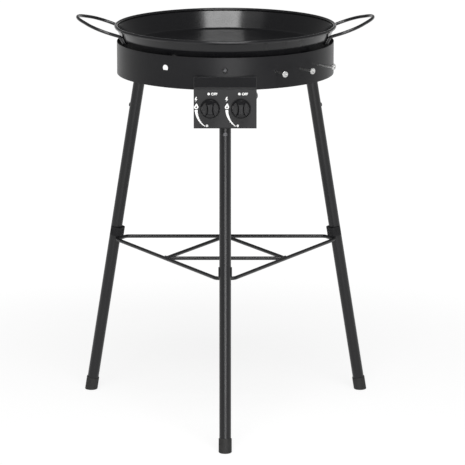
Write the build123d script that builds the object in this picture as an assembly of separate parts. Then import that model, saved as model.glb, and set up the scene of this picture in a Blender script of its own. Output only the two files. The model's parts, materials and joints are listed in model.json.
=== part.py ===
from build123d import *
import os
from math import atan2, cos, degrees, pi, radians, sin, sqrt, tan

# Griddle pan on a round gas burner with a three-legged stand, in millimetres.
# The origin is on the floor under the burner's axis, +Z is up and the control panel faces -Y.
# Left and right are as seen by someone who stands in front of the panel.

# Wind shield
shield_radius = 235.7
shield_height = 69.2
shield_bottom = 759.5
shield_sheet = 1.2
lighting_hole_radius = 6.8
lighting_hole_flat = 4.6
lighting_hole_azimuth = -32.6
lighting_hole_height = 42.0

# Pan
pan_overhang = 5.5
pan_flare_width = 23.2
pan_height = 45.4
pan_sheet = 1.6
pan_rim_bead = 7.5
pan_corner_radius = 6.0
pan_sink = 9.2

# Pan handles
handle_wire = 7.0
handle_loop_radius = 73.0
handle_loop_offset = 6.1
handle_tilt = 19.5
handle_foot_azimuth = 17.0
handle_weld_drop = 18.0
handle_weld_length = 18.0
handle_foot_bend = 8.0
handle_side_bend = 52.0
handle_front_bend = 68.0

# Legs, foot caps and spigots
leg_tube = 25.0
leg_wall = 1.5
leg_inset = 21.5
leg_spread = 140.0
leg_entry = 32.0
leg_screw_drop = 95.5
foot_wall = 1.4
foot_height = 30.0
foot_sole = 6.0
foot_edge = 2.0
foot_clearance = 0.1
spigot_wall = 2.0
spigot_clearance = 0.3
spigot_drop = 115.0

# Leg brackets with the ledges that carry the pan
bracket_sheet = 2.5
bracket_width = 44.0
bracket_height = 37.0
bracket_ledge = 44.0
bracket_screw_height = 42.4

# Screws and nuts
screw_radius = 3.0
screw_head_radius = 5.4
screw_head_height = 3.4
low_head_height = 1.8
head_rounding = 0.75
screw_clearance = 0.25
thread_clearance = 0.05
screw_tail = 1.5
recess_width = 1.3
recess_depth = 1.6
nut_across = 10.0
nut_height = 5.0

# Brace and its saddles
brace_height = 360.4
brace_rod = 8.0
brace_corner_length = 39.6
brace_bend = 12.0
brace_inner_bend = 6.0
brace_leg_gap = 0.5
saddle_wall = 2.0
saddle_web = 4.6
saddle_wrap = 5.0
saddle_height = 20.0
saddle_edge = 9.0
saddle_clearance = 0.1

# Utensil pegs
peg_radius = 2.5
peg_length = 38.3
peg_head_radius = 6.5
peg_head_height = 3.0
peg_socket_radius = 3.2
peg_socket_depth = 2.0
peg_azimuth = 42.3
peg_pitch = 15.0
peg_height = 36.0
peg_count = 3

# Control panel
panel_width = 133.0
panel_sheet = 1.2
panel_overlap = 3.9
panel_flange = 25.5
panel_step = 6.0
panel_tilt = 5.0
panel_length = 83.4
panel_bend = 2.0
panel_lip = 6.0
panel_side_depth = 24.0
panel_ear_drop = 6.5
panel_ear_height = 30.0
panel_gap = 0.3
plate_margin = 1.0
plate_thickness = 0.6

# Knobs
knob_spacing = 64.8
knob_shift = 0.8
knob_drop = 41.0
knob_radius = 20.8
knob_skirt = 15.0
knob_draft = 3.4
knob_wall = 3.6
knob_hub_radius = 6.5
knob_hollow = 6.0
grip_height = 11.0
grip_top_length = 20.6
grip_waist = 8.8
grip_draft = 2.8
grip_scoop_radius = 30.0
grip_edge = 1.2
lens_margin = 1.4
lens_gap = 0.5
lens_depth = 2.4
knob_travel = 2.5
knob_room = 0.9

# Valve stems
stem_radius = 3.0
stem_flat = 2.0
stem_reach = 15.0
stem_end_room = 0.5
stem_hole_room = 2.0
stem_clearance = 0.05
stem_grip = 5.0

# Gas valves
valve_radius = 12.0
bonnet_thickness = 4.0
collar_radius = 7.0
collar_thickness = 2.0
spring_wire = 1.2
spring_radius = 5.6
spring_turns = 5
spring_room = 10.0
plug_radius = 8.0
plug_length = 18.0
plug_clearance = 0.03
plug_port_radius = 2.5
valve_tail = 12.0
valve_boss_radius = 6.5
gas_bore_radius = 3.0
jet_radius = 5.0
jet_length = 12.0
jet_shank = 7.0
jet_bore_radius = 0.6
piezo_width = 15.0
piezo_length = 34.0
terminal_radius = 2.0
terminal_length = 6.0

# Gas manifold and inlet
manifold_radius = 7.5
manifold_wall = 2.0
manifold_end = 3.0
manifold_leg_gap = 9.56
manifold_rise = 22.6
elbow_wall = 1.5
elbow_reach = 3.0
elbow_collar = 12.0
elbow_socket = 7.0
elbow_tail = 13.0
nipple_radius = 5.0
nipple_length = 22.0
nipple_hex = 15.0
nipple_hex_length = 6.0
nipple_tip = 1.0

# Burner
ring_tube_radius = 9.5
ring_wall = 1.5
ring_corner = 5.0
ring_height = 13.0
outer_ring_radius = 110.0
inner_ring_radius = 52.0
port_radius = 1.3
port_count = 24
port_stagger = 2.2
mixer_radius = 11.0
mixer_wall = 1.5
mixer_bend = 24.0
jet_overlap = 6.0
ring_boss_wall = 3.0
ring_boss_drop = 8.0
arm_width = 20.0
arm_thickness = 3.0
arm_start = 40.0
arm_tab = 24.0
arm_azimuth = 75.0

# Spark electrodes
insulator_radius = 3.5
insulator_below = 20.0
insulator_above = 21.0
insulator_collar_radius = 5.5
insulator_collar_height = 3.0
insulator_clearance = 0.2
electrode_gap = 8.0
tip_radius = 1.0
tip_socket = 10.0
tip_rise = 6.0
tip_bend = 3.0
tip_reach = 12.0

# Places worked out from the sizes above
leg_azimuths = {"front": 0.0, "right": 120.0, "left": -120.0}
shield_top = shield_bottom + shield_height
shield_inside = shield_radius - shield_sheet
pan_rim_radius = shield_radius + pan_overhang
pan_floor_radius = pan_rim_radius - pan_flare_width
pan_bottom = shield_top - pan_sink
pan_rim = pan_bottom + pan_height
leg_radius = leg_tube / 2
leg_top_radius = shield_inside - leg_inset
leg_foot_radius = leg_top_radius + leg_spread
leg_lean = atan2(leg_foot_radius - leg_top_radius, shield_bottom)
leg_plane = Plane((0, -leg_foot_radius, 0), x_dir=(1, 0, 0), z_dir=(0, sin(leg_lean), cos(leg_lean)))
spigot_radius = leg_radius - leg_wall - spigot_clearance
ledge_under = pan_bottom - bracket_sheet
panel_fold = shield_bottom + panel_overlap
panel_front = shield_radius + panel_sheet + panel_step
tilt = radians(panel_tilt)
panel_plane = Plane((0, -panel_front, panel_fold), x_dir=(1, 0, 0), z_dir=(0, -cos(tilt), sin(tilt)))
side_plane = Plane((0, 0, 0), x_dir=(0, 1, 0), z_dir=(1, 0, 0))
knob_gap = knob_travel + knob_room
knob_places = {"left": knob_shift - knob_spacing / 2, "right": knob_shift + knob_spacing / 2}
manifold_drop = knob_drop - manifold_rise


def leg_inner_face(height):
    # Distance from the burner's axis to a leg's inner side at a height.
    return leg_foot_radius - height * tan(leg_lean) - leg_radius / cos(leg_lean)


# Depths are measured inwards from the panel's front face
leg_depth = panel_front - leg_inner_face(panel_fold - manifold_drop)
manifold_depth = leg_depth + manifold_leg_gap + manifold_radius
plug_front = manifold_depth - plug_length / 2
plug_back = plug_front + plug_length
spring_front = plug_front - spring_room
collar_front = spring_front - collar_thickness
valve_front = collar_front - bonnet_thickness
valve_back = plug_back + valve_tail
jet_end = valve_back + jet_length
manifold_left = panel_sheet - panel_width / 2
elbow_radius = manifold_radius + elbow_wall
elbow_collar_radius = manifold_radius + elbow_wall / 2
elbow_x = panel_width / 2 + elbow_reach - elbow_radius
elbow_start = elbow_x - elbow_collar
manifold_right = elbow_start + elbow_socket
manifold_bore = manifold_radius - manifold_wall
nipple_shank = elbow_tail - elbow_radius
ring_centre = shield_bottom + ring_height
ring_bottom = ring_centre - ring_tube_radius
boss_radius = mixer_radius + ring_boss_wall
boss_bottom = ring_bottom - ring_boss_drop


def radial_plane(azimuth, radius, height):
    # Plane square to a radius of the burner. Its Z points outwards and its Y up.
    turn = radians(azimuth)
    place = (radius * sin(turn), -radius * cos(turn), height)
    return Plane(place, x_dir=(cos(turn), sin(turn), 0), z_dir=(sin(turn), -cos(turn), 0))


def on_panel(x, drop, depth):
    # Plane square to the panel at a place below its fold, moved inwards. Its Z points outwards.
    return panel_plane * Pos(x, -drop, -depth)


def post(radius, low, high):
    # Round bar along Z between two heights.
    return Pos(0, 0, (low + high) / 2) * Cylinder(radius, high - low)


def pipe(radius, wall, low, high):
    return post(radius, low, high) - post(radius - wall, low, high)


def turned(profile):
    # Solid of revolution about the burner's axis from a profile of radius and height.
    return revolve(Plane.XZ * profile, Axis.Z)


def rod(path, radius):
    section = Plane(path @ 0, z_dir=path % 0) * Circle(radius)
    return sweep(section, path)


def group(shapes):
    return Compound([solid for shape in shapes for solid in shape.solids()])


def round_head_screw(shank_length, head_height=screw_head_height):
    # Cross-recessed screw along Z, with its head seated at zero and its shank below.
    head = post(screw_head_radius, 0, head_height)
    head = fillet(head.edges().group_by(Axis.Z)[-1], head_height * head_rounding)
    slot = Pos(0, 0, head_height) * Box(screw_head_radius * 1.1, recess_width, recess_depth * 2)
    return head + post(screw_radius, -shank_length, 0) - slot - Rot(0, 0, 90) * slot


def hex_nut(bolt_radius):
    # Nut along Z, seated at zero and reaching below it.
    blank = extrude(RegularPolygon(nut_across / 2, 6, major_radius=False), -nut_height)
    return blank - post(bolt_radius + thread_clearance, -nut_height, 0)


def chord_seat(radius):
    # Distance from the axis at which a nut's flat face meets the hollow side of a round wall.
    corner = nut_across / 2 / cos(pi / 6)
    return sqrt(radius**2 - corner**2)


# Pan
def pan_wall_radius(height):
    # Radius of the middle of the pan's flared wall at a height.
    low = pan_bottom + pan_sheet / 2
    high = pan_rim - pan_rim_bead / 2
    top_radius = pan_rim_radius - pan_rim_bead / 2
    return pan_floor_radius + (top_radius - pan_floor_radius) * (height - low) / (high - low)


def griddle_pan():
    floor = pan_bottom + pan_sheet / 2
    bead_centre = (pan_rim_radius - pan_rim_bead / 2, pan_rim - pan_rim_bead / 2)
    line = FilletPolyline((0, floor), (pan_floor_radius, floor), bead_centre, radius=pan_corner_radius)
    bead = Pos(*bead_centre) * Circle(pan_rim_bead / 2)
    return turned(trace(line, pan_sheet) + bead)


def pan_handle():
    # Right-hand handle: each foot is welded along the flared wall, and the loop rises outwards.
    flare = atan2(pan_wall_radius(1) - pan_wall_radius(0), 1)
    stand_off = (pan_sheet + handle_wire) / 2 / cos(flare)
    turn = radians(handle_foot_azimuth)
    weld_top = pan_rim - handle_weld_drop

    def on_wall(height, side):
        radius = pan_wall_radius(height) + stand_off
        return Vector(radius * cos(turn), side * radius * sin(turn), height)

    def loop_corner(angle):
        # Corner of the polygon round the loop's circle, lifted into its tilted plane.
        reach = handle_loop_radius / cos(radians(36))
        x = pan_rim_radius + handle_loop_offset + reach * cos(radians(angle))
        rise = (x - on_wall(weld_top, 1).X) * tan(radians(handle_tilt))
        return Vector(x, reach * sin(radians(angle)), weld_top + rise)

    points = [
        on_wall(weld_top - handle_weld_length, -1),
        on_wall(weld_top, -1),
        loop_corner(-72),
        loop_corner(0),
        loop_corner(72),
        on_wall(weld_top, 1),
        on_wall(weld_top - handle_weld_length, 1),
    ]
    bends = [handle_foot_bend, handle_side_bend, handle_front_bend, handle_side_bend, handle_foot_bend]
    return rod(FilletPolyline(*points, radius=bends), handle_wire / 2)


# Wind shield
def peg_azimuths():
    first = peg_azimuth - peg_pitch * (peg_count - 1) / 2
    return [first + peg_pitch * i for i in range(peg_count)]


def wall_hole(azimuth, height, radius):
    place = radial_plane(azimuth, shield_inside, shield_bottom + height)
    return place * post(radius, -shield_sheet, shield_sheet * 3)


def wind_shield():
    shell = pipe(shield_radius, shield_sheet, shield_bottom, shield_top)
    below_flat = Pos(0, -lighting_hole_flat - lighting_hole_radius / 2)
    keyed = Circle(lighting_hole_radius)
    keyed -= below_flat * Rectangle(lighting_hole_radius * 2, lighting_hole_radius)
    hole_place = radial_plane(lighting_hole_azimuth, shield_inside, shield_bottom + lighting_hole_height)
    shell -= hole_place * extrude(keyed, shield_sheet * 3, both=True)
    for azimuth in peg_azimuths():
        shell -= wall_hole(azimuth, peg_height, peg_radius + screw_clearance)
    for turn in leg_azimuths.values():
        shell -= wall_hole(turn, bracket_screw_height, screw_radius + screw_clearance)
    return shell


def utensil_peg(azimuth):
    # Round-headed bolt through the shield, with a hollow in its head.
    top = peg_length + peg_head_height
    tail = shield_sheet + nut_height + screw_tail
    head = post(peg_head_radius, peg_length, top)
    head = fillet(head.edges().group_by(Axis.Z)[-1], peg_head_height * 0.3)
    bolt = post(peg_radius, -tail, peg_length) + head - post(peg_socket_radius, top - peg_socket_depth, top)
    return radial_plane(azimuth, shield_radius, shield_bottom + peg_height) * bolt


def peg_nut(azimuth):
    seat = chord_seat(shield_inside)
    return radial_plane(azimuth, seat, shield_bottom + peg_height) * hex_nut(peg_radius)


# Legs, each built at the front and turned into place
def along_leg(height):
    # Distance along the leg's axis from the floor to a height.
    return height / cos(leg_lean)


def foot_cap():
    outside = leg_radius + foot_clearance + foot_wall
    cap = post(outside, -leg_radius, foot_height)
    cap = leg_plane * fillet(cap.edges().group_by(Axis.Z)[-1], foot_wall / 2)
    cap -= Pos(0, -leg_foot_radius, -leg_tube) * Box(leg_tube * 4, leg_tube * 4, leg_tube * 2)
    cap = fillet(cap.faces().sort_by(Axis.Z)[0].edges(), foot_edge)
    return cap - leg_plane * post(leg_radius + foot_clearance, foot_sole, foot_height)


def leg_screw_place():
    # Seat of the leg screw on the leg's outer side. Its Z points outwards.
    distance = along_leg(shield_bottom - leg_screw_drop)
    seat = leg_plane.from_local_coords(Vector(0, -leg_radius, distance))
    return Plane(seat, x_dir=(1, 0, 0), z_dir=leg_plane.y_dir * -1)


def leg():
    tube = leg_plane * pipe(leg_radius, leg_wall, foot_sole, along_leg(shield_bottom + leg_entry))
    hole_radius = screw_radius + screw_clearance
    tube -= leg_screw_place() * post(hole_radius, -leg_wall * 2, leg_wall)
    wall_depth = saddle_web + leg_wall
    return tube - saddle_screw_place() * post(screw_radius + thread_clearance, -wall_depth * 1.2, 0)


def leg_spigot():
    low = along_leg(shield_bottom - spigot_drop)
    tube = leg_plane * pipe(spigot_radius, spigot_wall, low, along_leg(pan_rim))
    tube -= Pos(0, -leg_top_radius, ledge_under + pan_rim / 2) * Box(leg_top_radius, leg_top_radius, pan_rim)
    return tube - leg_screw_place() * post(screw_radius + thread_clearance, -leg_radius, 0)


def leg_screw():
    shank = leg_wall + spigot_clearance + spigot_wall + screw_tail
    return leg_screw_place() * round_head_screw(shank, low_head_height)


def leg_bracket():
    # Upright plate on the shield's inner wall with a ledge for the pan, bent from one strip.
    half_turn = degrees(bracket_width / 2 / shield_inside)
    upright = Pos(shield_inside - bracket_sheet / 2, pan_bottom - bracket_height / 2)
    ledge = Pos(shield_inside - bracket_ledge / 2, pan_bottom - bracket_sheet / 2)
    strip = upright * Rectangle(bracket_sheet, bracket_height)
    strip += ledge * Rectangle(bracket_ledge, bracket_sheet)
    plate = Rot(0, 0, -90 - half_turn) * revolve(Plane.XZ * strip, Axis.Z, revolution_arc=half_turn * 2)
    hole = radial_plane(0, shield_inside, shield_bottom + bracket_screw_height)
    return plate - hole * post(screw_radius + screw_clearance, -bracket_sheet * 2, bracket_sheet)


def bracket_screw():
    shank = shield_sheet + bracket_sheet + nut_height + screw_tail
    return radial_plane(0, shield_radius, shield_bottom + bracket_screw_height) * round_head_screw(shank)


def bracket_nut():
    seat = chord_seat(shield_inside - bracket_sheet)
    return radial_plane(0, seat, shield_bottom + bracket_screw_height) * hex_nut(screw_radius)


# Brace
def brace_corner_radius():
    # Distance from the burner's axis to the rod that passes inside each leg.
    return leg_inner_face(brace_height) - brace_leg_gap - brace_rod / 2


def brace_side_distance():
    # Distance from the burner's axis to each long side.
    return (brace_corner_radius() + brace_corner_length / 2 / tan(radians(30))) / 2


def closed_rod(points, bend):
    return rod(FilletPolyline(*points, radius=bend, close=True), brace_rod / 2)


def brace_outer_frame():
    # Triangle with its corners cut off square to the legs.
    points = []
    for azimuth in leg_azimuths.values():
        for side in (-0.5, 0.5):
            place = Vector(side * brace_corner_length, -brace_corner_radius(), brace_height)
            points.append(place.rotate(Axis.Z, azimuth))
    return closed_rod(points, brace_bend)


def brace_inner_frame():
    # Triangle whose corners meet the middles of the outer frame's long sides.
    corner = Vector(0, brace_side_distance() - brace_rod + brace_inner_bend, brace_height)
    points = [corner.rotate(Axis.Z, azimuth) for azimuth in leg_azimuths.values()]
    return closed_rod(points, brace_inner_bend)


def saddle_foot():
    # Distance along the leg at which the saddle stands on the brace's rod.
    rod_place = leg_plane.to_local_coords(Vector(0, -brace_corner_radius(), brace_height))
    return rod_place.Z + brace_rod / 2


def saddle_screw_place():
    # Seat of the saddle screw on the saddle's inner face. Its Z points to the burner's axis.
    distance = saddle_foot() + saddle_height / 2
    seat = leg_plane.from_local_coords(Vector(0, leg_radius + saddle_web, distance))
    return Plane(seat, x_dir=(1, 0, 0), z_dir=leg_plane.y_dir)


def brace_saddle():
    # Clip that snaps round more than half of the leg and stands on the brace's rod.
    half_width = leg_radius + saddle_wall
    depth = leg_radius + saddle_web
    outline = Pos(0, (depth - saddle_wrap) / 2) * Rectangle(half_width * 2, depth + saddle_wrap)
    outline = fillet(outline.vertices().group_by(Axis.Y)[-1], saddle_edge)
    outline -= Circle(leg_radius + saddle_clearance)
    block = leg_plane * Pos(0, 0, saddle_foot()) * extrude(outline, saddle_height)
    return block - saddle_screw_place() * post(screw_radius + screw_clearance, -depth, 0)


def brace_screw():
    return saddle_screw_place() * round_head_screw(saddle_web + leg_wall + screw_tail, low_head_height)


# Control panel
def panel_profile():
    # Middle line of the bent sheet in the side view: flange, step, face and bottom lip.
    half = panel_sheet / 2
    back = -(shield_radius + half)
    face_top = Vector(half - panel_front, panel_fold - half)
    face_end = face_top + Vector(-sin(tilt), -cos(tilt)) * (panel_length - panel_sheet)
    lip_end = face_end + Vector(cos(tilt), -sin(tilt)) * panel_lip
    corners = [(back, panel_fold + panel_flange), (back, face_top.Y)]
    corners += [(place.X, place.Y) for place in (face_top, face_end, lip_end)]
    return FilletPolyline(*corners, radius=panel_bend)


def panel_cheek():
    # Side wall against the face's back, with a deep ear that holds the gas manifold.
    wall_length = panel_length - panel_sheet - panel_bend * 2
    wall_depth = panel_side_depth - panel_sheet
    ear_depth = manifold_depth + manifold_radius - panel_sheet
    wall_place = Pos(-panel_sheet - wall_depth / 2, -panel_length / 2)
    ear_place = Pos(-panel_sheet - ear_depth / 2, -panel_ear_drop - panel_ear_height / 2)
    outline = wall_place * Rectangle(wall_depth, wall_length)
    outline += ear_place * Rectangle(ear_depth, panel_ear_height)
    cheek_plane = Plane(panel_plane.origin, x_dir=panel_plane.z_dir, z_dir=(-1, 0, 0))
    room = post(shield_radius + panel_gap, shield_bottom - panel_gap, shield_top)
    return extrude(cheek_plane * outline, panel_sheet) - room


def control_panel():
    sheet = extrude(side_plane * trace(panel_profile(), panel_sheet), panel_width / 2, both=True)
    right = Pos(panel_width / 2, 0, 0) * panel_cheek()
    left = Pos(panel_sheet - panel_width / 2, 0, 0) * panel_cheek()
    room = elbow_radius + panel_gap
    notch = on_panel(panel_width / 2, manifold_drop, manifold_depth + room)
    right -= notch * Box(panel_sheet * 4, room * 2, room * 4)
    body = sheet + left + right
    for x in knob_places.values():
        body -= on_panel(x, knob_drop, 0) * post(stem_radius + stem_hole_room, -panel_sheet * 2, panel_sheet)
    return body


def name_plate():
    # Bare plate across the flange.
    height = panel_flange - panel_sheet - panel_bend - plate_margin
    middle = panel_fold + panel_flange - plate_margin - height / 2
    face = shield_radius + panel_sheet + plate_thickness / 2
    return Pos(0, -face, middle) * Box(panel_width - plate_margin * 2, plate_thickness, height)


# Knobs and valves, built along the panel's normal and moved to the left or right place
def stem_section(room):
    # Round bar with one flat.
    width = (stem_radius + room) * 2
    return Circle(stem_radius + room) - Pos(0, stem_flat + room + width / 2) * Rectangle(width, width)


def knob():
    # Round skirt with a sunk lens on each side of a waisted grip, whose flanks and ends slope.
    top_radius = knob_radius - knob_draft
    skirt = extrude(Circle(knob_radius), knob_skirt, taper=degrees(atan2(knob_draft, knob_skirt)))
    high = knob_skirt + grip_height
    lens_floor = knob_skirt - lens_depth
    tall = high - knob_hollow
    scoop_low = grip_scoop_radius - grip_draft * tall / (high - lens_floor)
    scoop = Pos(0, 0, knob_hollow + tall / 2) * Cone(scoop_low, grip_scoop_radius, tall)
    grip = post(top_radius, knob_hollow, high)
    waisted = Circle(top_radius)
    for side in (-1, 1):
        beside = Pos(side * (grip_waist / 2 + grip_scoop_radius), 0, 0)
        grip -= beside * scoop
        waisted -= beside * Circle(grip_scoop_radius - grip_draft)
    half_base = top_radius * 2
    lean = (top_radius - grip_top_length / 2) / grip_height
    half_low = grip_top_length / 2 + lean * tall
    side_view = Polygon(
        (-half_low, knob_hollow), (half_low, knob_hollow),
        (grip_top_length / 2, high), (-grip_top_length / 2, high), align=None,
    )
    grip &= extrude(side_plane * side_view, half_base, both=True)
    grip = fillet(grip.edges().group_by(Axis.Z)[-1], grip_edge)
    lens = Circle(top_radius - lens_margin) - offset(waisted, lens_gap)
    body = skirt - Pos(0, 0, lens_floor) * extrude(lens, lens_depth * 2) + grip
    body -= post(knob_radius - knob_wall, 0, knob_hollow) - post(knob_hub_radius, 0, knob_hollow)
    return Pos(0, 0, knob_gap) * (body - extrude(stem_section(stem_clearance), stem_reach + stem_end_room))


def valve_stem():
    length = knob_gap + stem_reach + plug_front + stem_grip
    bar = Pos(0, 0, -plug_front - stem_grip) * extrude(stem_section(0), length)
    return bar + post(collar_radius, -spring_front, -collar_front)


def valve_bonnet():
    return pipe(valve_radius, valve_radius - stem_radius - stem_clearance, -collar_front, -valve_front)


def valve_body():
    middle = -(plug_front + plug_back) / 2
    upright = Pos(0, 0, middle) * Rot(-90, 0, 0)
    body = post(valve_radius, -valve_back, -collar_front)
    body += upright * post(valve_boss_radius, 0, manifold_rise)
    across = Pos(0, manifold_rise, -manifold_depth) * Rot(0, 90, 0)
    body -= across * Cylinder(manifold_radius, valve_radius * 4)
    body -= post(plug_radius + plug_clearance, -plug_back, -collar_front)
    body -= upright * post(gas_bore_radius, 0, manifold_rise)
    return body - post(gas_bore_radius, -valve_back, -plug_back)


def valve_plug():
    # Turning plug with a slotted front for the stem, a side port and an outlet bore.
    depth = stem_grip + knob_travel + stem_end_room
    middle = -(plug_front + plug_back) / 2
    body = post(plug_radius, -plug_back, -plug_front)
    body -= Pos(0, 0, -plug_front - depth) * extrude(stem_section(stem_clearance), depth)
    body -= Pos(0, 0, middle) * Rot(0, 90, 0) * post(plug_port_radius, 0, plug_radius * 2)
    return body - post(gas_bore_radius, -plug_back, middle)


def valve_spring():
    # One unbroken wire, wound as pairs of tangent arcs, a quarter of a turn to each pair.
    rise = (spring_room - spring_wire) / spring_turns
    slope = rise / (2 * pi * spring_radius)

    def place(turn):
        angle = 2 * pi * turn
        height = spring_wire / 2 - plug_front + rise * turn
        return Vector(spring_radius * cos(angle), spring_radius * sin(angle), height)

    def heading(turn):
        angle = 2 * pi * turn
        return Vector(-sin(angle), cos(angle), slope).normalized()

    arcs = []
    for quarter in range(spring_turns * 4):
        start, end = place(quarter / 4), place((quarter + 1) / 4)
        out, into = heading(quarter / 4), heading((quarter + 1) / 4)
        span = end - start
        bend = 2 * (1 - out.dot(into))
        across = span.dot(out + into)
        reach = (sqrt(across**2 + bend * span.dot(span)) - across) / bend
        middle = (start + out * reach + end - into * reach) * 0.5
        arcs.append(TangentArc(start, middle, tangent=out))
        arcs.append(TangentArc(middle, end, tangent=end - into * reach - middle))
    print("spring gap", round(rise - spring_wire, 3))
    return rod(Wire([arc.edge() for arc in arcs]), spring_wire / 2)


def valve_jet():
    head = post(jet_radius, -jet_end, -valve_back)
    head = chamfer(head.edges().group_by(Axis.Z)[0], jet_radius / 3)
    jet = head + post(gas_bore_radius - thread_clearance, -valve_back, jet_shank - valve_back)
    jet -= post(gas_bore_radius / 2, -jet_end + jet_length / 4, jet_shank - valve_back)
    return jet - post(jet_bore_radius, -jet_end, -valve_back)


def piezo(side):
    # Igniter block on the outer side of the valve, with a terminal at its back.
    middle = -(collar_front + valve_back) / 2
    block = Box(piezo_width, piezo_width, piezo_length)
    block = fillet(block.edges().filter_by(Axis.Z), piezo_width / 10)
    terminal = post(terminal_radius, -piezo_length / 2 - terminal_length, -piezo_length / 2)
    return Pos(side * (valve_radius + piezo_width / 2), 0, middle) * (block + terminal)


# Gas manifold and inlet
def on_manifold(x):
    # Plane on the manifold's axis. Its Z points to the right along the manifold.
    return on_panel(x, manifold_drop, manifold_depth) * Rot(0, 90, 0)


def gas_manifold():
    length = manifold_right - manifold_left
    tube = on_manifold(manifold_left) * (
        post(manifold_radius, 0, length) - post(manifold_bore, manifold_end, length)
    )
    for x in knob_places.values():
        downwards = on_panel(x, manifold_drop, manifold_depth) * Rot(90, 0, 0)
        tube -= downwards * post(gas_bore_radius, 0, manifold_rise)
    return tube


def inlet_elbow():
    inwards = on_panel(elbow_x, manifold_drop, manifold_depth)
    body = inwards * post(elbow_radius, -elbow_tail, elbow_radius)
    body += on_manifold(elbow_start) * post(elbow_collar_radius, 0, elbow_collar)
    body -= on_manifold(elbow_start) * post(manifold_radius, 0, elbow_socket)
    body -= on_manifold(elbow_start) * post(gas_bore_radius, 0, elbow_collar)
    return body - inwards * post(manifold_bore, -elbow_tail, 0)


def hose_nipple():
    # Hexagon collar on the elbow, with a plain spigot that takes the hose.
    collar = extrude(RegularPolygon(nipple_hex / 2, 6, major_radius=False), -nipple_hex_length)
    tip = -nipple_hex_length - nipple_length
    spigot = post(nipple_radius, tip, 0)
    spigot = chamfer(spigot.edges().group_by(Axis.Z)[0], nipple_tip)
    body = collar + spigot + post(manifold_bore - thread_clearance, 0, nipple_shank)
    body -= post(gas_bore_radius, tip, nipple_shank)
    return on_panel(elbow_x, manifold_drop, manifold_depth + elbow_tail) * body


# Burner
def boss_place(x, ring_radius):
    # Centre of the ring's inlet, straight behind its valve.
    return Vector(x, -sqrt(ring_radius**2 - x**2), ring_centre)


def burner_ring(x, ring_radius):
    # Hollow cast ring with a flat top, two staggered circles of ports and an inlet boss below.
    inlet = boss_place(x, ring_radius)
    inlet_axis = Pos(inlet.X, inlet.Y, 0)
    middle = Pos(ring_radius, ring_centre)
    width = ring_tube_radius * 2
    hollow = width - ring_wall * 2
    ring = turned(middle * RectangleRounded(width, width, ring_corner))
    ring += inlet_axis * post(boss_radius, boss_bottom, ring_centre)
    ring -= turned(middle * RectangleRounded(hollow, hollow, ring_corner - ring_wall))
    ring -= inlet_axis * post(mixer_radius - mixer_wall - thread_clearance, ring_bottom, ring_centre)
    ring -= inlet_axis * post(mixer_radius + thread_clearance, boss_bottom, ring_bottom)
    for i in range(port_count):
        shift = port_stagger if i % 2 else -port_stagger
        place = Rot(0, 0, 360 / port_count * (i + 0.5)) * Pos(ring_radius + shift, 0, 0)
        ring -= place * post(port_radius, ring_centre, ring_centre + width)
    return ring


def mixing_tube(x, ring_radius):
    # Starts round the jet, runs straight back and bends up into the ring's boss.
    inlet = boss_place(x, ring_radius)
    mouth = on_panel(x, knob_drop, jet_end - jet_overlap).position
    bend_place = Vector(x, inlet.Y, mouth.Z - (inlet.Y - mouth.Y) * tan(tilt))
    top = Vector(x, inlet.Y, ring_bottom)
    path = FilletPolyline(mouth, bend_place, top, radius=mixer_bend)
    return rod(path, mixer_radius) - rod(path, mixer_radius - mixer_wall)


def electrode_places():
    rings = (outer_ring_radius, inner_ring_radius)
    return [ring + ring_tube_radius + electrode_gap for ring in rings]


def arm_azimuths():
    return [arm_azimuth + turn for turn in sorted(leg_azimuths.values())]


def burner_arm(azimuth):
    # Flat bar from under the inner ring to the shield, with a tab bent up against its wall.
    turn = Rot(0, 0, azimuth)
    length = shield_radius - arm_start
    bar_place = Pos(0, -arm_start - length / 2, ring_bottom - arm_thickness / 2)
    bar = bar_place * Box(arm_width, length, arm_thickness)
    tab_room = Pos(0, -shield_inside, ring_bottom - arm_thickness + arm_tab / 2)
    tab = tab_room * Box(arm_width, arm_width, arm_tab)
    tab &= pipe(shield_inside, arm_thickness, shield_bottom - shield_height, shield_top)
    bar &= post(shield_inside, shield_bottom - shield_height, shield_top)
    arm = bar + tab
    for radius in electrode_places():
        hole = post(insulator_radius + insulator_clearance, ring_bottom - arm_thickness * 2, ring_centre)
        arm -= Pos(0, -radius, 0) * hole
    return turn * arm


def electrode_insulator(azimuth, radius):
    body = post(insulator_radius, -insulator_below, insulator_above)
    body += post(insulator_collar_radius, 0, insulator_collar_height)
    body -= post(tip_radius, insulator_above - tip_socket, insulator_above)
    return Rot(0, 0, azimuth) * Pos(0, -radius, ring_bottom) * body


def electrode_tip(azimuth, radius):
    # Wire that rises from its insulator and bends over the ring.
    low = insulator_above - tip_socket
    high = insulator_above + tip_rise
    path = FilletPolyline((0, 0, low), (0, 0, high), (0, tip_reach, high), radius=tip_bend)
    return Rot(0, 0, azimuth) * Pos(0, -radius, ring_bottom) * rod(path, tip_radius)


# Nodes
right_handle = pan_handle()
nodes = {
    "griddle_pan": griddle_pan(),
    "pan_handle_right": right_handle,
    "pan_handle_left": mirror(right_handle, about=Plane.YZ),
    "wind_shield": wind_shield(),
    "utensil_pegs": group([utensil_peg(azimuth) for azimuth in peg_azimuths()]),
    "peg_nuts": group([peg_nut(azimuth) for azimuth in peg_azimuths()]),
    "brace_outer_frame": brace_outer_frame(),
    "brace_inner_frame": brace_inner_frame(),
    "control_panel": control_panel(),
    "blank_name_plate": name_plate(),
    "gas_manifold": gas_manifold(),
    "inlet_elbow": inlet_elbow(),
    "hose_nipple": hose_nipple(),
}

single_pieces = {
    "leg": leg(),
    "foot_cap": foot_cap(),
    "leg_spigot": leg_spigot(),
    "leg_bracket": leg_bracket(),
    "brace_saddle": brace_saddle(),
}
for name, piece in single_pieces.items():
    for side, turn in leg_azimuths.items():
        nodes[f"{name}_{side}"] = Rot(0, 0, turn) * piece

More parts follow.
